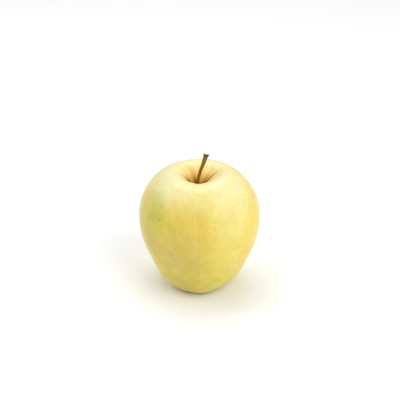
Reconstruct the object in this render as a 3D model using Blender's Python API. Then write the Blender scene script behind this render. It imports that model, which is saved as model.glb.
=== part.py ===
"""A whole yellow apple that stands on the lobes round its calyx: the fruit, its stem and its dried calyx.

Metres, +Z up. The origin is on the surface that the fruit stands on, under the middle of its box.
A turn is an angle about the fruit's axis, in degrees from +X towards +Y, so -90 is the front.
"""

import math
from bisect import bisect_left
from collections import namedtuple

import bmesh
import bpy
from mathutils import Vector
from mathutils.geometry import interpolate_bezier

MM = 0.001

# A knot of the fruit's meridian. The line's heading there is 0 outwards, 90 up and 180 inwards, and the
# reaches are the lengths of the knot's handles.
Knot = namedtuple("Knot", "radius height heading reach_before reach_after")
# Smooth hills round the axis: where each is, its size, how far it reaches each way, and how peaked it is.
Hills = namedtuple("Hills", "turns sizes half_width sharpness")
# A point of the stem's middle line: how high it is, how far it leans to +X, and how thick the stem is there.
StemPoint = namedtuple("StemPoint", "height lean radius")

# Driving sizes of the fruit
DIAMETER = 75 * MM
HEIGHT = 79.4 * MM
EQUATOR_HEIGHT = 47.5 * MM
SHOULDER_RADIUS = 17 * MM
CAVITY_DEPTH = 16 * MM
BASE_RADIUS = 12.5 * MM
BASIN_DEPTH = 7.5 * MM
FOOT_CUT = 0.3 * MM

# The meridian, from the middle of the stem cavity over the shoulder to the middle of the basin
MERIDIAN = (
    Knot(0, HEIGHT - CAVITY_DEPTH, 0, 0, 2.2 * MM),
    Knot(5.2 * MM, HEIGHT - 8.5 * MM, 64, 4.5 * MM, 2.6 * MM),
    Knot(10 * MM, HEIGHT - 3.3 * MM, 31, 2.6 * MM, 2.6 * MM),
    Knot(SHOULDER_RADIUS, HEIGHT, 0, 3 * MM, 6.2 * MM),
    Knot(DIAMETER / 2, EQUATOR_HEIGHT, -90, 20 * MM, 12.5 * MM),
    Knot(27.4 * MM, 13.9 * MM, -114, 18 * MM, 5 * MM),
    Knot(BASE_RADIUS, 0, -180, 5 * MM, 2.6 * MM),
    Knot(6.6 * MM, BASIN_DEPTH * 0.55, -240, 2.4 * MM, 2.2 * MM),
    Knot(0, BASIN_DEPTH, -180, 2.6 * MM, 0),
)
SHOULDER_KNOT, BASE_KNOT = 3, 6
STEPS_PER_KNOT = 40

# The lobes round the calyx. They stand out by a part of the radius, more inside the basin than on the flank.
LOBES = Hills((-78, -6, 67, 138, 210), (1.0, 1.0, 0.8, 1.15, 1.0), 36, 1.6)
FLANK_RELIEF = 0.024
BASIN_RELIEF = 0.13
LOBES_START_HEIGHT, LOBES_END_HEIGHT = 2 * MM, 38 * MM

# The valleys between the lobes rise clear of the surface, along a ring as wide as the base
VALLEYS = Hills((-42, 30, 102, 174, 246), (0.6 * MM, 1.7 * MM, 2.3 * MM, 1.5 * MM, 0.4 * MM), 34, 2)
BASE_RING_WIDTH = 7 * MM

# The folds down the wall of the stem cavity, deepest in its upper half, and how far its floor is off the axis
FOLDS = Hills((24, 80, 134, 182, 226, 268, 312), (1.0, 0.4, 0.8, 1.0, 0.3, 0.9, 0.3), 22, 2)
FOLD_MEAN = 0.3
FOLD_RELIEF = 0.14
FOLD_DEPTH_POWER = 0.7
CAVITY_SHIFT = -1.0 * MM

# How far the fruit is from round, as parts of its radius, and where each bulge points
OVAL, OVAL_TURN = 0.016, -25
THREE_SIDED, THREE_SIDED_TURN = 0.016, 24
SHOULDER_TILT, SHOULDER_TILT_TURN = 0.3 * MM, -40

# The stem, thin in the cavity and spread out where it left the twig, and the socket that its foot stands in
STEM = (
    StemPoint(61.5 * MM, -1.0 * MM, 1.2 * MM),
    StemPoint(66.0 * MM, -1.2 * MM, 1.1 * MM),
    StemPoint(72.0 * MM, -0.9 * MM, 0.95 * MM),
    StemPoint(78.5 * MM, 0.6 * MM, 1.0 * MM),
    StemPoint(85.5 * MM, 2.9 * MM, 1.15 * MM),
    StemPoint(88.8 * MM, 3.9 * MM, 1.35 * MM),
    StemPoint(91.2 * MM, 4.5 * MM, 2.0 * MM),
)
STEM_FOOT_GAP = 0.3 * MM
SOCKET_RADIUS = 1.6 * MM
SOCKET_SIDES = 24
SOCKET_LENGTH = 4.4 * MM

# The calyx: dried sepals that hang from the floor of the basin
SEPALS, SEPAL_TURN = 5, -28
SEPAL_LENGTH = 5.4 * MM
SEPAL_NOTCH_RADIUS = 1.9 * MM
SEPAL_SHARPNESS = 2.5
SEPAL_DROOP, SEPAL_DROOP_POWER = 4.2 * MM, 1.5
SEPAL_THICKNESS = 0.55 * MM
CALYX_GAP = 0.4 * MM

FRUIT_COLUMNS, FRUIT_RINGS = 64, 50
CALYX_COLUMNS, CALYX_RINGS = 60, 12


def direction(degrees):
    return Vector((math.cos(math.radians(degrees)), math.sin(math.radians(degrees))))


def wave(turn, count, first):
    """A cosine with count crests round the axis, one of them at first."""
    return math.cos(math.radians(count * (turn - first)))


def smooth_step(low, high, value):
    part = min(max((value - low) / (high - low), 0), 1)
    return part * part * (3 - 2 * part)


def hills_at(turn, hills):
    height = 0
    for crest, size in zip(hills.turns, hills.sizes):
        away = (turn - crest + 180) % 360 - 180
        if abs(away) < hills.half_width:
            height += size * math.cos(math.radians(away) * 90 / hills.half_width) ** hills.sharpness
    return height


def sample_meridian():
    """Points (radius, height) along the meridian, and the distance run to each."""
    line = []
    for start, end in zip(MERIDIAN, MERIDIAN[1:]):
        leave = Vector((start.radius, start.height))
        arrive = Vector((end.radius, end.height))
        leave_handle = leave + direction(start.heading) * start.reach_after
        arrive_handle = arrive - direction(end.heading) * end.reach_before
        stretch = interpolate_bezier(leave, leave_handle, arrive_handle, arrive, STEPS_PER_KNOT + 1)
        line += stretch[1:] if line else stretch
    run = [0.0]
    for near, far in zip(line, line[1:]):
        run.append(run[-1] + (far - near).length)
    return line, run


def fruit_point(turn, radius, height, hollow):
    """A point of the meridian, turned about the axis and made as uneven as a real fruit."""
    lobes = 2 * hills_at(turn, LOBES) - 1
    low = 1 - smooth_step(LOBES_START_HEIGHT, LOBES_END_HEIGHT, height)
    high = smooth_step(EQUATOR_HEIGHT, HEIGHT, height)
    stretch = 1 + FLANK_RELIEF * low * lobes
    stretch += OVAL * wave(turn, 2, OVAL_TURN) + THREE_SIDED * wave(turn, 3, THREE_SIDED_TURN)
    shift = 0
    if hollow == "cavity":
        depth = min((HEIGHT - height) / CAVITY_DEPTH, 1)
        fold = hills_at(turn, FOLDS) - FOLD_MEAN
        stretch += FOLD_RELIEF * fold * math.sin(math.pi * depth**FOLD_DEPTH_POWER)
        shift = CAVITY_SHIFT * smooth_step(0, 1, depth)
    elif hollow == "basin":
        stretch += BASIN_RELIEF * lobes * math.sin(math.pi * min(height / BASIN_DEPTH, 1))
    if height < LOBES_END_HEIGHT / 2:
        height += hills_at(turn, VALLEYS) * math.exp(-(((radius - BASE_RADIUS) / BASE_RING_WIDTH) ** 2))
    height += SHOULDER_TILT * high * wave(turn, 1, SHOULDER_TILT_TURN)
    across = direction(turn) * radius * stretch
    return Vector((across.x + shift, across.y, max(height - FOOT_CUT, 0)))


def reshaped_sphere(name, columns, rings, place):
    """An object made from a sphere. place gives each point, from its turn and how far down it is, 0 to 1."""
    shape = bmesh.new()
    bmesh.ops.create_uvsphere(shape, u_segments=columns, v_segments=rings, radius=1)
    for point in shape.verts:
        turn = math.degrees(math.atan2(point.co.y, point.co.x))
        down = math.acos(max(-1, min(1, point.co.z))) / math.pi
        point.co = place(turn, down)
    bmesh.ops.recalc_face_normals(shape, faces=shape.faces)
    return object_of(name, shape)


def object_of(name, shape):
    mesh = bpy.data.meshes.new(name)
    shape.to_mesh(mesh)
    shape.free()
    mesh.shade_smooth()
    return bpy.data.objects.new(name, mesh)


def make_fruit():
    line, run = sample_meridian()
    shoulder_run = run[SHOULDER_KNOT * STEPS_PER_KNOT]
    base_run = run[BASE_KNOT * STEPS_PER_KNOT]

    def place(turn, down):
        distance = down * run[-1]
        index = min(max(bisect_left(run, distance), 1), len(run) - 1)
        part = (distance - run[index - 1]) / (run[index] - run[index - 1])
        radius, height = line[index - 1].lerp(line[index], part)
        hollow = "cavity" if distance < shoulder_run else "basin" if distance > base_run else "none"
        return fruit_point(turn, radius, height, hollow)

    return reshaped_sphere("fruit", FRUIT_COLUMNS, FRUIT_RINGS, place)


def make_socket():
    """The cutter for the small round pit in the cavity's floor."""
    shape = bmesh.new()
    bmesh.ops.create_cone(
        shape,
        cap_ends=True,
        segments=SOCKET_SIDES,
        radius1=SOCKET_RADIUS,
        radius2=SOCKET_RADIUS,
        depth=SOCKET_LENGTH,
    )
    socket = object_of("stem_socket", shape)
    socket.location = (STEM[0].lean, 0, STEM[0].height - STEM_FOOT_GAP + SOCKET_LENGTH / 2)
    socket.hide_render = True
    socket.display_type = "WIRE"
    return socket


def make_stem():
    curve = bpy.data.curves.new("stem", "CURVE")
    curve.dimensions = "3D"
    curve.bevel_depth = 1
    curve.bevel_resolution = 3
    curve.resolution_u = 5
    curve.use_fill_caps = True
    spline = curve.splines.new("BEZIER")
    spline.bezier_points.add(len(STEM) - 1)
    for point, place in zip(spline.bezier_points, STEM):
        point.co = (place.lean, 0, place.height)
        point.radius = place.radius
        point.handle_left_type = point.handle_right_type = "AUTO"
    return bpy.data.objects.new("stem", curve)


def make_calyx():
    """A thin drooping star of pointed sepals, joined in the middle."""
    floor = BASIN_DEPTH - FOOT_CUT - CALYX_GAP - SEPAL_THICKNESS

    def place(turn, down):
        sepal = abs(wave(turn, SEPALS / 2, SEPAL_TURN)) ** SEPAL_SHARPNESS
        reach = SEPAL_NOTCH_RADIUS + (SEPAL_LENGTH - SEPAL_NOTCH_RADIUS) * sepal
        radius = reach * math.sin(math.pi * down)
        droop = SEPAL_DROOP * (radius / SEPAL_LENGTH) ** SEPAL_DROOP_POWER
        over_underside = SEPAL_THICKNESS * (1 + math.cos(math.pi * down)) / 2
        across = direction(turn) * radius
        return Vector((across.x, across.y, floor - droop + over_underside))

    return reshaped_sphere("calyx", CALYX_COLUMNS, CALYX_RINGS, place)


def make_material(name, colour, roughness):
    material = bpy.data.materials.new(name)
    material.use_nodes = True
    surface = material.node_tree.nodes["Principled BSDF"]
    surface.inputs["Base Color"].default_value = (*colour, 1)
    surface.inputs["Roughness"].default_value = roughness
    surface.inputs["Metallic"].default_value = 0
    material.diffuse_color = (*colour, 1)
    return material


def clear_scene():
    for thing in list(bpy.data.objects):
        bpy.data.objects.remove(thing)


def collect(name, things):
    collection = bpy.data.collections.new(name)
    bpy.context.scene.collection.children.link(collection)
    for thing in things:
        collection.objects.link(thing)


def main():
    clear_scene()
    fruit, stem, calyx, socket = make_fruit(), make_stem(), make_calyx(), make_socket()
    collect("whole_apple", (fruit, stem, calyx))
    collect("cutters", (socket,))

    cut = fruit.modifiers.new("stem socket", "BOOLEAN")
    cut.operation = "DIFFERENCE"
    cut.object = socket

    corners = [Vector(corner) for corner in fruit.bound_box]
    middle = sum(corners, Vector()) / len(corners)
    for thing in (fruit, stem, calyx, socket):
        thing.location -= Vector((middle.x, middle.y, 0))

    fruit.data.materials.append(make_material("waxy yellow skin", (0.80, 0.70, 0.20), 0.35))
    stem.data.materials.append(make_material("woody stem", (0.20, 0.11, 0.04), 0.75))
    calyx.data.materials.append(make_material("dried sepals", (0.16, 0.12, 0.07), 0.85))


main()
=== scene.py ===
"""The looks of a whole yellow apple: its waxy skin, its woody stem and the dried calyx in its base.

Metres, +Z up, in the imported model's own frame. A turn is an angle about the fruit's axis, in degrees from
+X towards +Y, so -90 is the front. Each piece repeats the model's own sizes and adds what is finer.
"""

import math
import random
from bisect import bisect_left
from collections import namedtuple

import bmesh
import bpy
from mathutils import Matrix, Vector, noise
from mathutils.geometry import interpolate_bezier


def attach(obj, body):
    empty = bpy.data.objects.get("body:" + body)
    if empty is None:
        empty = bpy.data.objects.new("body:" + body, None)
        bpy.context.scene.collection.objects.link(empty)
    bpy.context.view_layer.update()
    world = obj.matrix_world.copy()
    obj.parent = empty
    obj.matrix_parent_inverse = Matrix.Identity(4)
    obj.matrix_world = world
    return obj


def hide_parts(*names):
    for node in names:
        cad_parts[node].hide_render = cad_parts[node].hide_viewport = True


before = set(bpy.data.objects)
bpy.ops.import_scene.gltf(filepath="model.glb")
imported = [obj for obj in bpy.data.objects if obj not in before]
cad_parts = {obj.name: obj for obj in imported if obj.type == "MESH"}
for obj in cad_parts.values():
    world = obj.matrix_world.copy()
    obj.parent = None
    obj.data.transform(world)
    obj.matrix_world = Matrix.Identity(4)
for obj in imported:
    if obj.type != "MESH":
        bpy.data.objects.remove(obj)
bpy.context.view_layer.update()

MM = 0.001

# A knot of the fruit's meridian. The line's heading there is 0 outwards, 90 up and 180 inwards, and the
# reaches are the lengths of the knot's handles.
Knot = namedtuple("Knot", "radius height heading reach_before reach_after")
# Smooth hills round the axis: where each is, its size, how far it reaches each way, and how peaked it is.
Hills = namedtuple("Hills", "turns sizes half_width sharpness")
# Rings of points on the fruit: from one knot of the meridian to another, so far apart.
Rings = namedtuple("Rings", "first_knot last_knot spacing")
# A point of the stem's middle line: how high it is, how far it leans to +X, and how thick the stem is there.
StemPoint = namedtuple("StemPoint", "height lean radius")
# What one sepal has of its own: where it points, its length and droop, how far it bends to a side, how far
# its tip curls up and twists, and where its noise is read.
Sepal = namedtuple("Sepal", "heading length droop bend curl twist seed")
# A layer of colour: the value at which it starts to show, the one at which it is full, and its share then.
Layer = namedtuple("Layer", "start full strength tint")
# Noise that shows in a colour: the width of its spots in metres, how fine and rough it is, and its layers.
Pattern = namedtuple("Pattern", "size detail roughness layers")
# A soft cloud of colour in the skin, round a place in millimetres: full up to inner, and gone from outer on.
Patch = namedtuple("Patch", "place inner outer strength tint")
# Dots in the skin: how far apart their cells are, the largest dot and halo, and how much each shows.
Dots = namedtuple("Dots", "cell radius halo strength halo_strength")
# A soft box of light: where it is, its sides and its power in watts.
SoftBox = namedtuple("SoftBox", "place width depth power")

# The fruit, as in the model
DIAMETER = 75 * MM
HEIGHT = 79.4 * MM
EQUATOR_HEIGHT = 47.5 * MM
SHOULDER_RADIUS = 17 * MM
CAVITY_DEPTH = 16 * MM
BASE_RADIUS = 12.5 * MM
BASIN_DEPTH = 7.5 * MM
FOOT_CUT = 0.3 * MM
MERIDIAN = (
    Knot(0, HEIGHT - CAVITY_DEPTH, 0, 0, 2.2 * MM),
    Knot(5.2 * MM, HEIGHT - 8.5 * MM, 64, 4.5 * MM, 2.6 * MM),
    Knot(10 * MM, HEIGHT - 3.3 * MM, 31, 2.6 * MM, 2.6 * MM),
    Knot(SHOULDER_RADIUS, HEIGHT, 0, 3 * MM, 6.2 * MM),
    Knot(DIAMETER / 2, EQUATOR_HEIGHT, -90, 20 * MM, 12.5 * MM),
    Knot(27.4 * MM, 13.9 * MM, -114, 18 * MM, 5 * MM),
    Knot(BASE_RADIUS, 0, -180, 5 * MM, 2.6 * MM),
    Knot(6.6 * MM, BASIN_DEPTH * 0.55, -240, 2.4 * MM, 2.2 * MM),
    Knot(0, BASIN_DEPTH, -180, 2.6 * MM, 0),
)
SHOULDER_KNOT, BASE_KNOT, LAST_KNOT = 3, 6, 8
STEPS_PER_KNOT = 400
LOBES = Hills((-78, -6, 67, 138, 210), (1.0, 1.0, 0.8, 1.15, 1.0), 36, 1.6)
FLANK_RELIEF = 0.024
BASIN_RELIEF = 0.13
LOBES_START_HEIGHT, LOBES_END_HEIGHT = 2 * MM, 38 * MM
VALLEYS = Hills((-42, 30, 102, 174, 246), (0.6 * MM, 1.7 * MM, 2.3 * MM, 1.5 * MM, 0.4 * MM), 34, 2)
BASE_RING_WIDTH = 7 * MM
FOLDS = Hills((24, 80, 134, 182, 226, 268, 312), (1.0, 0.4, 0.8, 1.0, 0.3, 0.9, 0.3), 22, 2)
FOLD_MEAN = 0.3
FOLD_RELIEF = 0.14
FOLD_DEPTH_POWER = 0.7
CAVITY_SHIFT = -1.0 * MM
OVAL, OVAL_TURN = 0.016, -25
THREE_SIDED, THREE_SIDED_TURN = 0.016, 24
SHOULDER_TILT, SHOULDER_TILT_TURN = 0.3 * MM, -40

# The columns and rings of points in its mesh, closer together in the two hollows
FRUIT_COLUMNS = 320
FRUIT_RINGS = (
    Rings(0, SHOULDER_KNOT, 0.32 * MM),
    Rings(SHOULDER_KNOT, BASE_KNOT, 0.85 * MM),
    Rings(BASE_KNOT, LAST_KNOT, 0.36 * MM),
)
# What it has that is finer than the model: dips in the shoulder, a fuller left side of the front foot, and a
# blunt ridge that slants to the right on its way down the front, given at its top and at its foot
RIM_DIPS = Hills((30, 150, 270), (0.2 * MM, 0.3 * MM, 0.8 * MM), 72, 2)
RIM_WIDTH = 8 * MM
FRONT_FOOT = Hills((-120,), (0.7 * MM,), 42, 1.5)
FRONT_FOOT_RADIUS, FRONT_FOOT_WIDTH = 18.5 * MM, 5 * MM
RIDGE_HEIGHTS, RIDGE_TURNS = (70 * MM, 8 * MM), (-90, -70)
RIDGE_WIDTH, RIDGE_RELIEF = 11, 0.35 * MM
# The unevenness that it grew with, as sizes and reliefs of noise, which fades out down at the feet
FRUIT_MIDDLE = Vector((0, 0, 45 * MM))
SWELLS = ((24 * MM, 0.35 * MM), (9 * MM, 0.08 * MM), (2.5 * MM, 0.012 * MM))
FEET_START, FEET_END = 1 * MM, 8 * MM
# Sharp creases and slight pleats down the stem cavity, pleats down the basin, a puckered collar round the
# stem and a pit above the calyx
CREASES = Hills((20, 46, 94, 114, 168, 205, 250, 316), (0.95, 0.35, 0.25, 0.34, 0.75, 0.5, 0.4, 0.5), 16, 2)
CREASE_RELIEF, CREASE_FADE = 0.11, (0.06, 0.35)
CAVITY_PLEATS, CAVITY_PLEAT_RELIEF = 3.2, 0.03
BASIN_PLEATS, BASIN_PLEAT_RELIEF = 2.4, 0.10
COLLAR_RADIUS, COLLAR_WIDTH, COLLAR_RISE = 1.7 * MM, 0.6 * MM, 0.45 * MM
PIT_RADIUS, PIT_DEPTH = 1.1 * MM, 1.3 * MM

# The stem, as in the model
STEM = (
    StemPoint(61.5 * MM, -1.0 * MM, 1.2 * MM),
    StemPoint(66.0 * MM, -1.2 * MM, 1.1 * MM),
    StemPoint(72.0 * MM, -0.9 * MM, 0.95 * MM),
    StemPoint(78.5 * MM, 0.6 * MM, 1.0 * MM),
    StemPoint(85.5 * MM, 2.9 * MM, 1.15 * MM),
    StemPoint(88.8 * MM, 3.9 * MM, 1.35 * MM),
    StemPoint(91.2 * MM, 4.5 * MM, 2.0 * MM),
)
STEM_COLUMNS, STEM_RINGS, SCAR_RINGS = 56, 150, 14
# The part of its length, each way, over which its heading is taken
HEADING_STEP = 0.01
# Ribs, fibres and knots in its bark: how many crests they have round it, how long they are, and their relief.
# A knot stands out only where its noise is above KNOT_START.
RIBS, RIB_LENGTH, RIB_RELIEF = 1.1, 7 * MM, 0.16
FIBRES, FIBRE_LENGTH, FIBRE_RELIEF = 3.5, 2.2 * MM, 0.06
KNOTS, KNOT_LENGTH, KNOT_START, KNOT_RELIEF = 0.8, 2.4 * MM, 0.25, 0.22
# The forked and hollow scar at its end, where it broke from the twig. Its rim lies lower than the end.
FLARE_START = 0.88
SCAR_FORK, SCAR_RIM_DROP = 0.5 * MM, 1.6
SCAR_DEPTH, SCAR_LIP = 0.9 * MM, 0.1
SCAR_BUMPS, SCAR_BUMP_RELIEF, SCAR_NOISE_PLACE = 2, 0.25, 9

# The calyx, as in the model
SEPALS, SEPAL_TURN = 5, -28
SEPAL_LENGTH = 5.4 * MM
SEPAL_DROOP, SEPAL_DROOP_POWER = 4.2 * MM, 1.5
SEPAL_ROOT_RADIUS, SEPAL_ROOT_HEIGHT = 1.1 * MM, 7.2 * MM
SEPAL_HALF_WIDTH, SEPAL_HALF_THICKNESS = 1.55 * MM, 0.11 * MM
SEPAL_COLUMNS, SEPAL_RINGS = 28, 40
# How the sepals differ: turns in degrees, shares of the length and droop, and the curl in millimetres
HEADING_RANGE, LENGTH_RANGE, DROOP_RANGE = (-6, 6), (0.86, 1.0), (0.78, 1.0)
BEND_RANGE, CURL_RANGE, TWIST_RANGE, SEED_RANGE = (-9, 9), (0.2, 0.9), (-35, 35), (0, 50)
# A sepal's blade: its outline from root to tip, its ragged edges, the channel down its middle and its puckers
TAPER_POWER, ROOT_SHARE, BELLY, TIP_HALF_WIDTH = 0.75, 0.62, 0.75, 0.09 * MM
CLOSING_POWER, CURL_START = 0.25, 0.7
RAGGED_RELIEF, RAGGED_STEPS = 0.25, 6
CHANNEL_DEPTH, CHANNEL_FADE = 0.35, 0.5
PUCKER_RELIEF, PUCKERS_ACROSS, PUCKERS_ALONG = 0.16 * MM, 1.5, 7
# The stamens, finer than the model: threads that thin towards a knob near the tip. Their spread to a side is
# in millimetres.
STAMENS = 15
STAMEN_ROOT_RADIUS, STAMEN_LENGTH, STAMEN_RADIUS = 0.75 * MM, 3.1 * MM, 0.1 * MM
STAMEN_ROOT_RISE, STAMEN_TAPER = 0.5 * MM, 0.4
STAMEN_HEADING_RANGE, STAMEN_LENGTH_RANGE = (-10, 10), (0.6, 1.0)
SPREAD_RANGE, SWAY_RANGE = (-0.3, 1.5), (-60, 60)
KNOB_SIZE, KNOB_PART, KNOB_WIDTH = 1.5, 0.93, 0.05
STAMEN_COLUMNS, STAMEN_RINGS = 8, 18
# What makes the sepals and stamens the same in each run
CALYX_SEED = 5

# The skin's colour: pale yellow flesh, and the layers over it from the lowest up. First come clouds of
# greener flesh, and paler streaks down the meridians, which change this much less along the height.
FLESH = "E4CA46"
CLOUDS = Pattern(21 * MM, 3, 0.5, (Layer(0.38, 0.68, 0.55, "CFC84C"),))
STREAKS = Pattern(3.2 * MM, 4, 0.6, (Layer(0.45, 0.75, 0.12, "F6E08A"),))
STREAK_HEIGHT_SHARE = 0.15
PATCHES = (
    # The shoulder round the stem: its own paler colour under a painted highlight of the light from above, a
    # painted greenish-white highlight on the left, warm at the front, and a painted highlight at the right
    Patch((0, 0, 86), 14, 48, 0.82, "F6EBBC"),
    Patch((-20, -8, 76), 4, 26, 0.45, "E8EEC4"),
    Patch((10, -15, 79), 2, 10, 0.25, "F8E6C4"),
    Patch((22, -16, 71), 5, 21, 0.38, "F4F1C4"),
    # The green cheek at the front left
    Patch((-28, -20, 66), 3, 15, 0.40, "BCC044"),
    Patch((-30, -20, 54), 3, 17, 0.50, "B4BA3C"),
    Patch((-33, -16, 45), 3, 14, 0.36, "B2B42C"),
    # The deep yellow left side, browner lower down, where the lowest and darkest patch is painted shade
    Patch((-37, -6, 54), 4, 22, 0.60, "D4C020"),
    Patch((-36, -6, 38), 4, 20, 0.40, "CCB22C"),
    Patch((-29, -20, 36), 3, 16, 0.32, "AE9A30"),
    # The duller, warmer middle of the front; its upper patch is painted shade on the left of the front ridge,
    # away from the light
    Patch((-8, -35, 44), 6, 22, 0.36, "CEBA66"),
    Patch((-13, -31, 28), 6, 28, 0.42, "C2AC4A"),
    # The paler front right, painted light where the light from the right falls on the lobe, and the bright
    # yellow right side
    Patch((20, -28, 58), 4, 22, 0.42, "F4ECA8"),
    Patch((17, -30, 36), 4, 18, 0.42, "E8DA7C"),
    Patch((35, -10, 50), 3, 20, 0.50, "F0D848"),
    # The front foot, greenish on the right and olive on the left, where the olive also darkens it as painted
    # shade
    Patch((10, -27, 12), 2, 14, 0.40, "D0CC54"),
    Patch((-10, -25, 8), 3, 16, 0.38, "ACA03C"),
    # The back, greener on one side and warmer on the other
    Patch((20, 29, 48), 4, 26, 0.45, "C9CB62"),
    Patch((-18, 30, 40), 4, 24, 0.35, "EBCC52"),
    # Single marks
    Patch((-24.4, -24.6, 59.1), 0.3, 1.8, 0.40, "98981E"),
    Patch((-12.7, -19.2, 76.3), 0.1, 1.3, 0.35, "D0A028"),
    Patch((-15.1, -32.8, 54.5), 0.1, 0.9, 0.45, "9A8E2C"),
    Patch((-1.1, -31.8, 24.3), 0.1, 1.0, 0.40, "9A8E2C"),
)
# Soft blotches, paler and darker, where the flesh ripened unevenly, and fine mottling, as its cells differ
BLOTCHES = Pattern(6 * MM, 1, 0.4, (Layer(0.45, 0.75, 0.18, "F6E68C"), Layer(0.55, 0.25, 0.18, "D2B43C")))
MOTTLING = Pattern(1.6 * MM, 3, 0.6, (Layer(0.4, 0.8, 0.3, "D9BE4E"),))
# Lenticels, the skin's breathing dots of cork in pale halos. Few show high on the shoulder.
DOTS = (
    Dots(3.2 * MM, 1.2 * MM, 1.8 * MM, 0.21, 0.04),
    Dots(2.1 * MM, 0.85 * MM, 1.0 * MM, 0.17, 0.02),
)
DOT_TINT, HALO_TINT = "A6820E", "F4E49A"
DOT_CORE = 0.4
FEW_DOTS_HEIGHT, ALL_DOTS_HEIGHT, FEW_DOTS_SHARE = 79 * MM, 60 * MM, 0.1
# Russet in the stem cavity by its ragged depth, from the golden edge down to the dark floor, whose darkest
# brown is partly painted shade. Streaks round the stem make it ragged, it reaches higher and darker along the
# creases, which is painted shade too, and none of it lies outside the cavity.
RUSSET_AND_SHADE = (
    Layer(0.50, 0.90, 0.75, "E2B23C"),
    Layer(0.80, 1.12, 0.85, "AE6E14"),
    Layer(0.98, 1.24, 0.90, "66400A"),
)
RUSSET_STREAKS, RUSSET_RAGGEDNESS = 3.0, 0.7
RUSSET_ON_WALL, RUSSET_AND_SHADE_IN_CREASE = 0.92, 1.7
CAVITY_EDGE = 0.02
# The basin is greener, and brown round the calyx
BASIN_TINT, BASIN_STRENGTH, BASIN_BLEND = "C8C65C", 0.55, 0.06
CALYX_STAIN = Layer(0.955, 0.985, 0.90, "6B4F24")
# Pores far finer than this would show as nothing, so they are drawn 0.45 mm wide
PORE_SIZE, PORE_DEPTH = 0.45 * MM, 0.02 * MM
DOT_RELIEF = 1.2
# The wax is smooth and the cork is matt, without a coat. The glow is that of light in wet flesh.
WAX_ROUGHNESS, CORK_ROUGHNESS, CORK_FULL = 0.36, 0.75, 0.5
WAX_COAT, WAX_COAT_ROUGHNESS = 0.35, 0.3
FLESH_GLOW, FLESH_GLOW_REACH = 0.35, 2.5 * MM

# The bark's two browns, its light and dark fibres, and its darker foot, neck and scar, by the way along it.
# The light fibres sit on the raised crests of the fibre bump as a painted highlight.
# Real fibres are about 0.05 mm wide: they are drawn 0.35 mm wide, so that they show.
BARK_TINTS = ("8E5C14", "80661A")
BARK_BLOTCH_SIZE = 2.2 * MM
BARK_FIBRE_WIDTH, BARK_FIBRE_HEIGHT_SHARE, BARK_FIBRE_DEPTH = 0.35 * MM, 0.12, 0.08 * MM
BARK_FIBRES_AND_HIGHLIGHT = (Layer(0.45, 0.7, 0.6, "B4842A"), Layer(0.5, 0.3, 0.7, "4E2E08"))
BARK_ENDS = (
    Layer(0.15, 0.0, 0.6, "6A4218"),
    Layer(0.86, 0.93, 0.65, "5A3A16"),
    Layer(0.94, 0.98, 0.8, "3A2410"),
)

# The dead leaf's felt, drawn 0.5 mm wide so that it shows, and its dark tips
FELT_SIZE, FELT_DEPTH = 0.5 * MM, 0.08 * MM
FELT_TINTS = ("4A3A26", "9A8A66")
LEAF_TIP = Layer(0.6, 1, 0.6, "3A2A18")

# The floor, a disc of paper that bends up into a wall and has its grain drawn coarse, the even light of the
# room, and the soft boxes
FLOOR_RADIUS, BEND_RADIUS, WALL_HEIGHT = 1.6, 1.0, 1.3
FLOOR_COLUMNS, BEND_STEP = 72, 9
PAPER_TINTS, PAPER_GRAIN = ("F8F8F9", "FAFBFC"), 1.5 * MM
ROOM_LIGHT = 0.48
LIGHTS_AIM = Vector((0, 0, 0.05))
LIGHTS = (
    SoftBox((-0.05, 0.32, 0.95), 0.75, 0.75, 3.6),
    SoftBox((0.55, -0.55, 0.65), 0.8, 0.8, 4.9),
    SoftBox((0.95, 0.10, 0.35), 0.5, 0.7, 0.85),
    SoftBox((-0.40, -0.45, 0.85), 0.7, 0.7, 0.5),
    SoftBox((-0.75, 0.05, 0.75), 0.6, 0.6, 2.1),
)

# The camera at the photo's angle: in front, looking down, with a long lens
CAMERA_TILT = 28
CAMERA_DISTANCE = 1.0
CAMERA_AIM = Vector((0.4 * MM, 0, 59.3 * MM))
CAMERA_LENS, CAMERA_SENSOR = 144, 36


def direction(degrees):
    return Vector((math.cos(math.radians(degrees)), math.sin(math.radians(degrees))))


def turn_from(middle, turn):
    """How far a turn is from another one, between -180 and 180."""
    return (turn - middle + 180) % 360 - 180


def wave(turn, count, first):
    """A cosine with count crests round the axis, one of them at first."""
    return math.cos(math.radians(count * (turn - first)))


def smooth_step(low, high, value):
    part = min(max((value - low) / (high - low), 0), 1)
    return part * part * (3 - 2 * part)


def bell(value, middle, width):
    return math.exp(-(((value - middle) / width) ** 2))


def hills_at(turn, hills):
    height = 0
    for crest, size in zip(hills.turns, hills.sizes):
        away = turn_from(crest, turn)
        if abs(away) < hills.half_width:
            height += size * math.cos(math.radians(away) * 90 / hills.half_width) ** hills.sharpness
    return height


def noise_round(turn, crests, along):
    """Noise that goes round the axis without a seam, with more crests the larger crests is."""
    across = direction(turn) * crests
    return noise.noise(Vector((across.x, across.y, along)))


def join_rings(shape, rings):
    """Joins each ring of points to the next with faces. A ring may be a single point."""
    for near, far in zip(rings, rings[1:]):
        for i in range(max(len(near), len(far))):
            corners = [near[j % len(near)] for j in (i, i + 1)] + [far[j % len(far)] for j in (i + 1, i)]
            # A single point comes twice here, and dropping the second leaves a triangle
            shape.faces.new(dict.fromkeys(corners))


def add_shell(shape, columns, parts, place):
    """Adds a closed shell to shape: a ring of points at each part of the way, and one point at each end."""
    along = shape.verts.layers.float.get("along") or shape.verts.layers.float.new("along")
    rings = []
    for part in parts:
        ends = part in (parts[0], parts[-1])
        ring = [shape.verts.new(place(360 * i / columns, part)) for i in range(1 if ends else columns)]
        for point in ring:
            point[along] = part
        rings.append(ring)
    join_rings(shape, rings)


def even_parts(count):
    """The parts of the way at which count equal steps start and end."""
    return [i / count for i in range(count + 1)]


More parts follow.
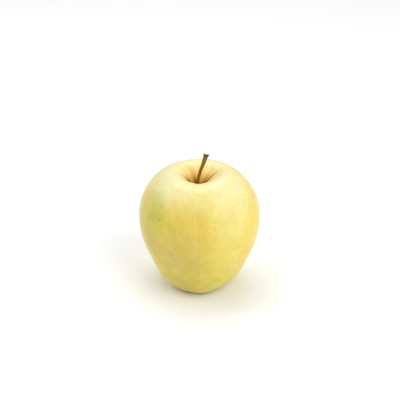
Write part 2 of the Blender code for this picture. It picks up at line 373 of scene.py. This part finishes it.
def shape_to_object(name, shape, material):
    mesh = bpy.data.meshes.new(name)
    shape.to_mesh(mesh)
    shape.free()
    mesh.shade_smooth()
    mesh.materials.append(material)
    made = bpy.data.objects.new(name, mesh)
    bpy.context.scene.collection.objects.link(made)
    return made


def finish_piece(name, shape, material, node, shift):
    """Makes the piece that stands for one of the model's nodes."""
    bmesh.ops.recalc_face_normals(shape, faces=shape.faces)
    bmesh.ops.translate(shape, verts=shape.verts, vec=shift)
    piece = shape_to_object(name, shape, material)
    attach(piece, "root")
    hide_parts(node)


def sample_meridian():
    """Points (radius, height) along the meridian, and the distance run to each."""
    line = []
    for start, end in zip(MERIDIAN, MERIDIAN[1:]):
        leave = Vector((start.radius, start.height))
        arrive = Vector((end.radius, end.height))
        leave_handle = leave + direction(start.heading) * start.reach_after
        arrive_handle = arrive - direction(end.heading) * end.reach_before
        stretch = interpolate_bezier(leave, leave_handle, arrive_handle, arrive, STEPS_PER_KNOT + 1)
        line += stretch[1:] if line else stretch
    run = [0.0]
    for near, far in zip(line, line[1:]):
        run.append(run[-1] + (far - near).length)
    return line, run


def ridge_at(turn, height):
    """How far the blunt ridge down the front stands out."""
    (top, foot), (top_turn, foot_turn) = RIDGE_HEIGHTS, RIDGE_TURNS
    down = (top - height) / (top - foot)
    if not 0 < down < 1:
        return 0
    away = turn_from(top_turn + (foot_turn - top_turn) * down, turn)
    return RIDGE_RELIEF * math.sin(math.pi * down) * bell(away, 0, RIDGE_WIDTH)


def fruit_point(turn, radius, height, hollow):
    """A point of the meridian, turned about the axis and made as uneven as a real fruit."""
    lobes = 2 * hills_at(turn, LOBES) - 1
    low = 1 - smooth_step(LOBES_START_HEIGHT, LOBES_END_HEIGHT, height)
    high = smooth_step(EQUATOR_HEIGHT, HEIGHT, height)
    scale = 1 + FLANK_RELIEF * low * lobes
    scale += OVAL * wave(turn, 2, OVAL_TURN) + THREE_SIDED * wave(turn, 3, THREE_SIDED_TURN)
    shift = 0
    if hollow == "cavity":
        depth = min((HEIGHT - height) / CAVITY_DEPTH, 1)
        fold = hills_at(turn, FOLDS) - FOLD_MEAN
        scale += FOLD_RELIEF * fold * math.sin(math.pi * depth**FOLD_DEPTH_POWER)
        pleats = noise_round(turn, CAVITY_PLEATS, depth) * CAVITY_PLEAT_RELIEF
        pleats += CREASE_RELIEF * hills_at(turn, CREASES) * smooth_step(*CREASE_FADE, depth)
        scale += pleats * math.sin(math.pi * depth)
        shift = CAVITY_SHIFT * smooth_step(0, 1, depth)
        height += COLLAR_RISE * bell(radius, COLLAR_RADIUS, COLLAR_WIDTH)
    elif hollow == "basin":
        wall = math.sin(math.pi * min(height / BASIN_DEPTH, 1))
        scale += BASIN_RELIEF * lobes * wall
        scale += BASIN_PLEAT_RELIEF * noise_round(turn, BASIN_PLEATS, height / BASIN_DEPTH) * wall
        height += PIT_DEPTH * bell(radius, 0, PIT_RADIUS)
    if height < LOBES_END_HEIGHT / 2:
        height += hills_at(turn, VALLEYS) * bell(radius, BASE_RADIUS, BASE_RING_WIDTH)
        height -= hills_at(turn, FRONT_FOOT) * bell(radius, FRONT_FOOT_RADIUS, FRONT_FOOT_WIDTH)
    height += SHOULDER_TILT * high * wave(turn, 1, SHOULDER_TILT_TURN)
    if high:
        height -= hills_at(turn, RIM_DIPS) * bell(radius, SHOULDER_RADIUS, RIM_WIDTH)
    ridge = ridge_at(turn, height) if hollow == "none" else 0
    across = direction(turn) * (radius * scale + ridge)
    point = Vector((across.x + shift, across.y, max(height - FOOT_CUT, 0)))
    swell = sum(relief * noise.noise(point / size) for size, relief in SWELLS)
    return point + (point - FRUIT_MIDDLE).normalized() * swell * smooth_step(FEET_START, FEET_END, point.z)


def make_fruit():
    """The shell of the fruit, how far it has to move to stand where the model does, and two parts of its way.

    They are the part of the meridian at which the cavity ends, and the one at which the basin starts.
    """
    line, run = sample_meridian()
    shoulder_run = run[SHOULDER_KNOT * STEPS_PER_KNOT]
    base_run = run[BASE_KNOT * STEPS_PER_KNOT]

    def place(turn, part):
        distance = part * run[-1]
        index = min(max(bisect_left(run, distance), 1), len(run) - 1)
        step = (distance - run[index - 1]) / (run[index] - run[index - 1])
        radius, height = line[index - 1].lerp(line[index], step)
        hollow = "cavity" if distance < shoulder_run else "basin" if distance > base_run else "none"
        return fruit_point(turn, radius, height, hollow)

    parts = [0.0]
    for rings in FRUIT_RINGS:
        start = run[rings.first_knot * STEPS_PER_KNOT]
        end = run[rings.last_knot * STEPS_PER_KNOT]
        count = round((end - start) / rings.spacing)
        parts += [(start + (end - start) * (i + 1) / count) / run[-1] for i in range(count)]
    shape = bmesh.new()
    add_shell(shape, FRUIT_COLUMNS, parts, place)
    crease = shape.verts.layers.float.new("crease")
    for point in shape.verts:
        point[crease] = hills_at(math.degrees(math.atan2(point.co.y, point.co.x)), CREASES)
    reach = [[point.co[axis] for point in shape.verts] for axis in range(2)]
    shift = Vector((*(-(min(values) + max(values)) / 2 for values in reach), 0))
    return shape, shift, shoulder_run / run[-1], base_run / run[-1]


def curve_through(points, part):
    """A place on the smooth curve through points, part of the way from the first to the last."""
    place = min(part, 1) * (len(points) - 1)
    index = min(int(place), len(points) - 2)
    step = place - index
    before, start, end, after = (points[min(max(index + i, 0), len(points) - 1)] for i in (-1, 0, 1, 2))
    leave, arrive = (end - before) / 2, (after - start) / 2
    square, cube = step * step, step**3
    return (
        start * (2 * cube - 3 * square + 1)
        + leave * (cube - 2 * square + step)
        + end * (3 * square - 2 * cube)
        + arrive * (cube - square)
    )


def make_stem():
    """A tapered stalk. The last rings turn in over the rim and down into the scar."""
    points = [Vector(point) for point in STEM]
    scar_start = STEM_RINGS / (STEM_RINGS + SCAR_RINGS)

    def place(turn, part):
        up = min(part / scar_start, 1)
        in_scar = max(part - scar_start, 0) / (1 - scar_start)
        height, lean, radius = curve_through(points, up)
        ahead = curve_through(points, min(up + HEADING_STEP, 1)) - curve_through(points, up - HEADING_STEP)
        heading = Vector((ahead.y, 0, ahead.x)).normalized()
        side = Vector((heading.z, 0, -heading.x))
        spread = 1 + RIB_RELIEF * noise_round(turn, RIBS, height / RIB_LENGTH)
        spread += FIBRE_RELIEF * noise_round(turn, FIBRES, height / FIBRE_LENGTH)
        spread += KNOT_RELIEF * max(noise_round(turn, KNOTS, height / KNOT_LENGTH) - KNOT_START, 0)
        inwards = math.cos(in_scar * math.pi / 2) * (part > 0)
        across = direction(turn) * radius * spread * inwards
        flare = smooth_step(FLARE_START, 1, up)
        rise = SCAR_FORK * flare * (wave(turn, 2, 0) - SCAR_RIM_DROP) * inwards
        bumps = 1 - SCAR_BUMP_RELIEF * abs(noise_round(turn, SCAR_BUMPS, SCAR_NOISE_PLACE))
        rise -= SCAR_DEPTH * smooth_step(SCAR_LIP, 1, in_scar) * bumps
        middle = Vector((lean, 0, height))
        return middle + side * across.x + Vector((0, across.y, 0)) + heading * rise

    shape = bmesh.new()
    add_shell(shape, STEM_COLUMNS, even_parts(STEM_RINGS + SCAR_RINGS), place)
    return shape


def sepal_point(turn, part, sepal):
    """A point of one sepal's thin blade, part of the way from its root to its tip."""
    radius = SEPAL_ROOT_RADIUS + (sepal.length - SEPAL_ROOT_RADIUS) * part
    outwards = direction(sepal.heading + sepal.bend * part * part)
    height = SEPAL_ROOT_HEIGHT - sepal.droop * (radius / SEPAL_LENGTH) ** SEPAL_DROOP_POWER
    height += sepal.curl * smooth_step(CURL_START, 1, part)
    half_width = SEPAL_HALF_WIDTH * (1 - part) ** TAPER_POWER * (ROOT_SHARE + BELLY * part) + TIP_HALF_WIDTH
    half_width *= 1 + RAGGED_RELIEF * noise.noise(Vector((part * RAGGED_STEPS, sepal.seed, 0)))
    around = direction(turn)
    edge = around.x
    channel = CHANNEL_DEPTH * half_width * edge * edge * (1 - CHANNEL_FADE * part)
    pucker_place = Vector((edge * PUCKERS_ACROSS, part * PUCKERS_ALONG, sepal.seed))
    pucker = PUCKER_RELIEF * noise.noise(pucker_place)
    closing = math.sin(math.pi * part) ** CLOSING_POWER if 0 < part < 1 else 0
    tilt = math.radians(sepal.twist * part)
    wide = edge * half_width * closing
    thick = around.y * SEPAL_HALF_THICKNESS * closing - channel - pucker
    along_width = wide * math.cos(tilt) - thick * math.sin(tilt)
    along_height = wide * math.sin(tilt) + thick * math.cos(tilt)
    across = outwards * radius + Vector((-outwards.y, outwards.x)) * along_width
    return Vector((across.x, across.y, height + along_height))


def make_sepals(chance):
    """Five dried sepals that droop out of the basin, each a channelled blade with a curled tip."""
    shape = bmesh.new()
    for i in range(SEPALS):
        sepal = Sepal(
            heading=SEPAL_TURN + 360 / SEPALS * i + chance.uniform(*HEADING_RANGE),
            length=SEPAL_LENGTH * chance.uniform(*LENGTH_RANGE),
            droop=SEPAL_DROOP * chance.uniform(*DROOP_RANGE),
            bend=chance.uniform(*BEND_RANGE),
            curl=chance.uniform(*CURL_RANGE) * MM,
            twist=chance.uniform(*TWIST_RANGE),
            seed=chance.uniform(*SEED_RANGE),
        )
        parts = even_parts(SEPAL_RINGS)
        add_shell(shape, SEPAL_COLUMNS, parts, lambda turn, part: sepal_point(turn, part, sepal))
    return shape


def make_stamens(chance):
    """The withered stamens, thin bent threads with a knob at the tip, in a tuft between the sepals."""
    shape = bmesh.new()
    for i in range(STAMENS):
        heading = 360 / STAMENS * i + chance.uniform(*STAMEN_HEADING_RANGE)
        length = STAMEN_LENGTH * chance.uniform(*STAMEN_LENGTH_RANGE)
        spread, sway = chance.uniform(*SPREAD_RANGE) * MM, chance.uniform(*SWAY_RANGE)

        def place(turn, part):
            outwards = direction(heading + sway * part)
            radius = STAMEN_ROOT_RADIUS + spread * part * part
            knob = KNOB_SIZE * bell(part, KNOB_PART, KNOB_WIDTH)
            thickness = STAMEN_RADIUS * (1 - STAMEN_TAPER * part + knob) * (0 < part < 1)
            across = outwards * radius + direction(turn) * thickness
            return Vector((across.x, across.y, SEPAL_ROOT_HEIGHT + STAMEN_ROOT_RISE - length * part))

        add_shell(shape, STAMEN_COLUMNS, even_parts(STAMEN_RINGS), place)
    return shape


def colour(hex_text):
    """An sRGB hex value as a linear colour."""
    values = [int(hex_text[i : i + 2], 16) / 255 for i in (0, 2, 4)]
    return (*(v / 12.92 if v <= 0.04045 else ((v + 0.055) / 1.055) ** 2.4 for v in values), 1)


def add_node(owner, kind, sockets=None, output=None, **settings):
    """Adds a node and returns one of its outputs. A socket takes a value, or an output, which is linked."""
    node = owner.node_tree.nodes.new(kind)
    for name, value in settings.items():
        setattr(node, name, value)
    inputs = {socket.identifier: socket for socket in node.inputs}
    for name, value in (sockets or {}).items():
        if isinstance(value, bpy.types.NodeSocket):
            owner.node_tree.links.new(value, inputs[name])
        else:
            inputs[name].default_value = value
    shown = [socket for socket in node.outputs if socket.enabled]
    return next((socket for socket in shown if socket.identifier == output), shown[0] if shown else None)


def new_material(name):
    material = bpy.data.materials.new(name)
    material.use_nodes = True
    material.node_tree.nodes.clear()
    return material


def wax_skin(cavity_part, basin_part):
    """The skin: a thin wax cuticle over pale yellow flesh, which gives a soft glow and a broad, quiet gloss.

    Green and warmer clouds run into each other, some of them painted highlights and painted shade, fine
    streaks follow the meridians, dots of cork are scattered over it, and corky russet spreads up the wall of
    the stem cavity in streaks, darkened towards the cavity's floor and in its creases by painted shade.
    """
    skin = new_material("wax_skin")
    place = add_node(skin, "ShaderNodeTexCoord", output="Object")
    along = add_node(skin, "ShaderNodeAttribute", output="Fac", attribute_name="along")
    # Each tint has a share of the surface, and lies over the tints before it
    tints = []

    def add_pattern(where, pattern):
        sockets = {"Scale": 1 / pattern.size, "Detail": pattern.detail, "Roughness": pattern.roughness}
        spots = add_node(skin, "ShaderNodeTexNoise", {"Vector": where, **sockets})
        for start, full, strength, tint in pattern.layers:
            fade = {"Value": spots, "From Min": start, "From Max": full, "To Max": strength}
            tints.append((add_node(skin, "ShaderNodeMapRange", fade), tint))

    # Streaks run from the cavity to the basin: noise on the direction from the axis, drawn out in height
    flat = add_node(
        skin, "ShaderNodeVectorMath", {"Vector": place, "Vector_001": (1, 1, 0)}, operation="MULTIPLY"
    )
    outwards = add_node(skin, "ShaderNodeVectorMath", {"Vector": flat}, operation="NORMALIZE")
    drawn_out = add_node(
        skin,
        "ShaderNodeVectorMath",
        {"Vector": place, "Vector_001": (0, 0, STREAK_HEIGHT_SHARE)},
        operation="MULTIPLY",
    )
    streak_place = add_node(
        skin,
        "ShaderNodeVectorMath",
        {"Vector": outwards, "Vector_001": (DIAMETER / 2,) * 3, "Vector_002": drawn_out},
        operation="MULTIPLY_ADD",
    )
    add_pattern(place, CLOUDS)
    add_pattern(streak_place, STREAKS)

    for patch in PATCHES:
        away = add_node(
            skin,
            "ShaderNodeVectorMath",
            {"Vector": place, "Vector_001": Vector(patch.place) * MM},
            "Value",
            operation="DISTANCE",
        )
        share = add_node(
            skin,
            "ShaderNodeMapRange",
            {
                "Value": away,
                "From Min": patch.inner * MM,
                "From Max": patch.outer * MM,
                "To Min": patch.strength,
                "To Max": 0,
            },
            interpolation_type="SMOOTHSTEP",
        )
        tints.append((share, patch.tint))

    add_pattern(place, BLOTCHES)
    add_pattern(place, MOTTLING)

    # Lenticels: each cell has one dot of its own size, and only those near the surface show
    height = add_node(skin, "ShaderNodeSeparateXYZ", {"Vector": place}, "Z")
    low_down = add_node(
        skin,
        "ShaderNodeMapRange",
        {
            "Value": height,
            "From Min": FEW_DOTS_HEIGHT,
            "From Max": ALL_DOTS_HEIGHT,
            "To Min": FEW_DOTS_SHARE,
        },
    )
    dot_shares = []
    for dots in DOTS:
        cell = {"Vector": place, "Scale": 1 / dots.cell}
        away = add_node(skin, "ShaderNodeTexVoronoi", cell, "Distance")
        chance = add_node(skin, "ShaderNodeTexVoronoi", cell, "Color")
        size = add_node(skin, "ShaderNodeSeparateColor", {"Color": chance}, "Red")
        ratio = add_node(skin, "ShaderNodeMath", {"Value": away, "Value_001": size}, operation="DIVIDE")
        for reach, strength, tint in (
            (dots.halo, dots.halo_strength, HALO_TINT),
            (dots.radius, dots.strength, DOT_TINT),
        ):
            share = add_node(
                skin,
                "ShaderNodeMapRange",
                {
                    "Value": ratio,
                    "From Min": DOT_CORE * reach / dots.cell,
                    "From Max": reach / dots.cell,
                    "To Min": strength,
                    "To Max": 0,
                },
                interpolation_type="SMOOTHSTEP",
            )
            share = add_node(
                skin, "ShaderNodeMath", {"Value": share, "Value_001": low_down}, operation="MULTIPLY"
            )
            tints.append((share, tint))
        dot_shares.append(share)

    # Russet and painted shade: the depth in the cavity, more in the creases, with streaks that go round the
    # cavity's own middle
    from_stem = add_node(
        skin,
        "ShaderNodeVectorMath",
        {"Vector": flat, "Vector_001": (CAVITY_SHIFT, 0, 0)},
        operation="SUBTRACT",
    )
    round_stem = add_node(skin, "ShaderNodeVectorMath", {"Vector": from_stem}, operation="NORMALIZE")
    russet_streaks = add_node(
        skin,
        "ShaderNodeTexNoise",
        {"Vector": round_stem, "Scale": RUSSET_STREAKS, "Detail": 4, "Roughness": 0.6},
    )
    depth = add_node(skin, "ShaderNodeMapRange", {"Value": along, "From Min": cavity_part, "From Max": 0})
    crease = add_node(skin, "ShaderNodeAttribute", output="Fac", attribute_name="crease")
    deepening = add_node(
        skin, "ShaderNodeMapRange", {"Value": crease, "To Min": RUSSET_ON_WALL, "To Max": RUSSET_AND_SHADE_IN_CREASE}
    )
    creased_depth = add_node(
        skin, "ShaderNodeMath", {"Value": deepening, "Value_001": depth}, operation="MULTIPLY"
    )
    ragged_depth = add_node(
        skin,
        "ShaderNodeMath",
        {"Value": russet_streaks, "Value_001": RUSSET_RAGGEDNESS, "Value_002": creased_depth},
        operation="MULTIPLY_ADD",
    )
    in_cavity = add_node(
        skin, "ShaderNodeMath", {"Value": depth, "Value_001": CAVITY_EDGE}, operation="GREATER_THAN"
    )
    russet_and_shade_shares = []
    # The deeper, darker layers are partly painted shade in the cavity's floor and creases
    for start, full, strength, tint in RUSSET_AND_SHADE:
        share = add_node(
            skin,
            "ShaderNodeMapRange",
            {"Value": ragged_depth, "From Min": start, "From Max": full, "To Max": strength},
            interpolation_type="SMOOTHSTEP",
        )
        share = add_node(
            skin, "ShaderNodeMath", {"Value": share, "Value_001": in_cavity}, operation="MULTIPLY"
        )
        russet_and_shade_shares.append(share)
        tints.append((share, tint))

    green_basin = Layer(basin_part - BASIN_BLEND, basin_part + BASIN_BLEND, BASIN_STRENGTH, BASIN_TINT)
    for start, full, strength, tint in (green_basin, CALYX_STAIN):
        share = add_node(
            skin,
            "ShaderNodeMapRange",
            {"Value": along, "From Min": start, "From Max": full, "To Max": strength},
            interpolation_type="SMOOTHSTEP",
        )
        tints.append((share, tint))

    surface = colour(FLESH)
    for share, tint in tints:
        surface = add_node(
            skin,
            "ShaderNodeMix",
            {"Factor_Float": share, "A_Color": surface, "B_Color": colour(tint)},
            data_type="RGBA",
        )

    pores = add_node(
        skin, "ShaderNodeTexNoise", {"Vector": place, "Scale": 1 / PORE_SIZE, "Detail": 2, "Roughness": 0.5}
    )
    relief = add_node(
        skin,
        "ShaderNodeMath",
        {"Value": dot_shares[0], "Value_001": DOT_RELIEF, "Value_002": pores},
        operation="MULTIPLY_ADD",
    )
    bump = add_node(skin, "ShaderNodeBump", {"Height": relief, "Distance": PORE_DEPTH, "Strength": 0.6})
    corky = {"Value": russet_and_shade_shares[0], "From Max": CORK_FULL}
    roughness = add_node(
        skin, "ShaderNodeMapRange", {**corky, "To Min": WAX_ROUGHNESS, "To Max": CORK_ROUGHNESS}
    )
    wax = add_node(skin, "ShaderNodeMapRange", {**corky, "To Min": WAX_COAT, "To Max": 0})
    shader = add_node(
        skin,
        "ShaderNodeBsdfPrincipled",
        {
            "Base Color": surface,
            "Roughness": roughness,
            "Normal": bump,
            "IOR": 1.5,
            "Specular IOR Level": 0.3,
            "Subsurface Weight": FLESH_GLOW,
            "Subsurface Radius": (1.0, 0.65, 0.2),
            "Subsurface Scale": FLESH_GLOW_REACH,
            "Coat Weight": wax,
            "Coat Roughness": WAX_COAT_ROUGHNESS,
        },
    )
    add_node(skin, "ShaderNodeOutputMaterial", {"Surface": shader})
    return skin


def stalk_bark():
    """The stem: dried bark over wood, brown with an olive cast, matt and finely fibrous along its length."""
    bark = new_material("stalk_bark")
    place = add_node(bark, "ShaderNodeTexCoord", output="Object")
    along = add_node(bark, "ShaderNodeAttribute", output="Fac", attribute_name="along")
    drawn_out = add_node(
        bark,
        "ShaderNodeVectorMath",
        {"Vector": place, "Vector_001": (1, 1, BARK_FIBRE_HEIGHT_SHARE)},
        operation="MULTIPLY",
    )
    fibres = add_node(
        bark,
        "ShaderNodeTexNoise",
        {"Vector": drawn_out, "Scale": 1 / BARK_FIBRE_WIDTH, "Detail": 4, "Roughness": 0.6},
    )
    blotches = add_node(
        bark, "ShaderNodeTexNoise", {"Vector": place, "Scale": 1 / BARK_BLOTCH_SIZE, "Detail": 3}
    )
    brown, olive_brown = map(colour, BARK_TINTS)
    surface = add_node(
        bark,
        "ShaderNodeMix",
        {"Factor_Float": blotches, "A_Color": brown, "B_Color": olive_brown},
        data_type="RGBA",
    )
    # The light fibres are a painted highlight on the crests of the fibre bump
    for value, layers in ((fibres, BARK_FIBRES_AND_HIGHLIGHT), (along, BARK_ENDS)):
        for start, full, strength, tint in layers:
            share = add_node(
                bark,
                "ShaderNodeMapRange",
                {"Value": value, "From Min": start, "From Max": full, "To Max": strength},
                interpolation_type="SMOOTHSTEP",
            )
            surface = add_node(
                bark,
                "ShaderNodeMix",
                {"Factor_Float": share, "A_Color": surface, "B_Color": colour(tint)},
                data_type="RGBA",
            )
    bump = add_node(bark, "ShaderNodeBump", {"Height": fibres, "Distance": BARK_FIBRE_DEPTH, "Strength": 0.7})
    roughness = add_node(bark, "ShaderNodeMapRange", {"Value": blotches, "To Min": 0.5, "To Max": 0.75})
    shader = add_node(
        bark,
        "ShaderNodeBsdfPrincipled",
        {
            "Base Color": surface,
            "Roughness": roughness,
            "Normal": bump,
            "IOR": 1.5,
            "Specular IOR Level": 0.2,
        },
    )
    add_node(bark, "ShaderNodeOutputMaterial", {"Surface": shader})
    return bark


def dried_sepal():
    """The calyx: papery dead leaf, grey-brown and felted, mottled paler and darker, and dark at its tips."""
    leaf = new_material("dried_sepal")
    place = add_node(leaf, "ShaderNodeTexCoord", output="Object")
    along = add_node(leaf, "ShaderNodeAttribute", output="Fac", attribute_name="along")
    felt = add_node(
        leaf, "ShaderNodeTexNoise", {"Vector": place, "Scale": 1 / FELT_SIZE, "Detail": 4, "Roughness": 0.7}
    )
    dark, pale = map(colour, FELT_TINTS)
    surface = add_node(
        leaf, "ShaderNodeMix", {"Factor_Float": felt, "A_Color": dark, "B_Color": pale}, data_type="RGBA"
    )
    start, full, strength, tint = LEAF_TIP
    tip = add_node(
        leaf,
        "ShaderNodeMapRange",
        {"Value": along, "From Min": start, "From Max": full, "To Max": strength},
    )
    surface = add_node(
        leaf,
        "ShaderNodeMix",
        {"Factor_Float": tip, "A_Color": surface, "B_Color": colour(tint)},
        data_type="RGBA",
    )
    bump = add_node(leaf, "ShaderNodeBump", {"Height": felt, "Distance": FELT_DEPTH, "Strength": 0.8})
    shader = add_node(
        leaf,
        "ShaderNodeBsdfPrincipled",
        {"Base Color": surface, "Roughness": 0.85, "Normal": bump, "Sheen Weight": 0.25},
    )
    add_node(leaf, "ShaderNodeOutputMaterial", {"Surface": shader})
    return leaf


def matt_white_paper():
    """The floor: smooth white background paper, with hardly any gloss."""
    paper = new_material("matt_white_paper")
    place = add_node(paper, "ShaderNodeTexCoord", output="Object")
    grain = add_node(paper, "ShaderNodeTexNoise", {"Vector": place, "Scale": 1 / PAPER_GRAIN})
    white, bright_white = map(colour, PAPER_TINTS)
    surface = add_node(
        paper,
        "ShaderNodeMix",
        {"Factor_Float": grain, "A_Color": white, "B_Color": bright_white},
        data_type="RGBA",
    )
    shader = add_node(paper, "ShaderNodeBsdfPrincipled", {"Base Color": surface, "Roughness": 0.9})
    add_node(paper, "ShaderNodeOutputMaterial", {"Surface": shader})
    return paper


def make_floor():
    """Paper that curves up into a wall all round, so that low views have no hard horizon."""
    bend = [direction(angle) * BEND_RADIUS for angle in range(-90, 1, BEND_STEP)]
    profile = [(FLOOR_RADIUS + point.x, BEND_RADIUS + point.y) for point in bend]
    profile.append((FLOOR_RADIUS + BEND_RADIUS, WALL_HEIGHT))
    shape = bmesh.new()
    rings = [[shape.verts.new((0, 0, 0))]]
    for radius, height in profile:
        places = [direction(360 * i / FLOOR_COLUMNS) * radius for i in range(FLOOR_COLUMNS)]
        rings.append([shape.verts.new((place.x, place.y, height)) for place in places])
    join_rings(shape, rings)
    bmesh.ops.recalc_face_normals(shape, faces=shape.faces)
    shape_to_object("floor", shape, matt_white_paper())


def make_light():
    """The even light of a bright room, and the soft boxes."""
    room = bpy.data.worlds.new("studio_room")
    room.use_nodes = True
    room.node_tree.nodes.clear()
    light = add_node(room, "ShaderNodeBackground", {"Color": (1, 1, 1, 1), "Strength": ROOM_LIGHT})
    add_node(room, "ShaderNodeOutputWorld", {"Surface": light})
    bpy.context.scene.world = room
    bpy.context.scene.view_settings.view_transform = "Standard"

    for box in LIGHTS:
        light = bpy.data.lights.new("soft_box", "AREA")
        light.shape = "RECTANGLE"
        light.size, light.size_y = box.width, box.depth
        light.energy = box.power
        lamp = bpy.data.objects.new("soft_box", light)
        lamp.location = box.place
        lamp.rotation_euler = (LIGHTS_AIM - Vector(box.place)).to_track_quat("-Z", "Y").to_euler()
        bpy.context.scene.collection.objects.link(lamp)


def make_camera():
    tilt = math.radians(CAMERA_TILT)
    camera = bpy.data.cameras.new("camera")
    camera.lens, camera.sensor_width = CAMERA_LENS, CAMERA_SENSOR
    eye = bpy.data.objects.new("camera", camera)
    eye.location = CAMERA_AIM + CAMERA_DISTANCE * Vector((0, -math.cos(tilt), math.sin(tilt)))
    eye.rotation_euler = (math.pi / 2 - tilt, 0, 0)
    bpy.context.scene.collection.objects.link(eye)
    bpy.context.scene.camera = eye


def main():
    chance = random.Random(CALYX_SEED)
    fruit, shift, cavity_part, basin_part = make_fruit()
    finish_piece("apple_skin", fruit, wax_skin(cavity_part, basin_part), "fruit", shift)
    finish_piece("apple_stem", make_stem(), stalk_bark(), "stem", shift)
    leaf = dried_sepal()
    finish_piece("apple_sepals", make_sepals(chance), leaf, "calyx", shift)
    finish_piece("apple_stamens", make_stamens(chance), leaf, "calyx", shift)
    make_floor()
    make_light()
    make_camera()


main()
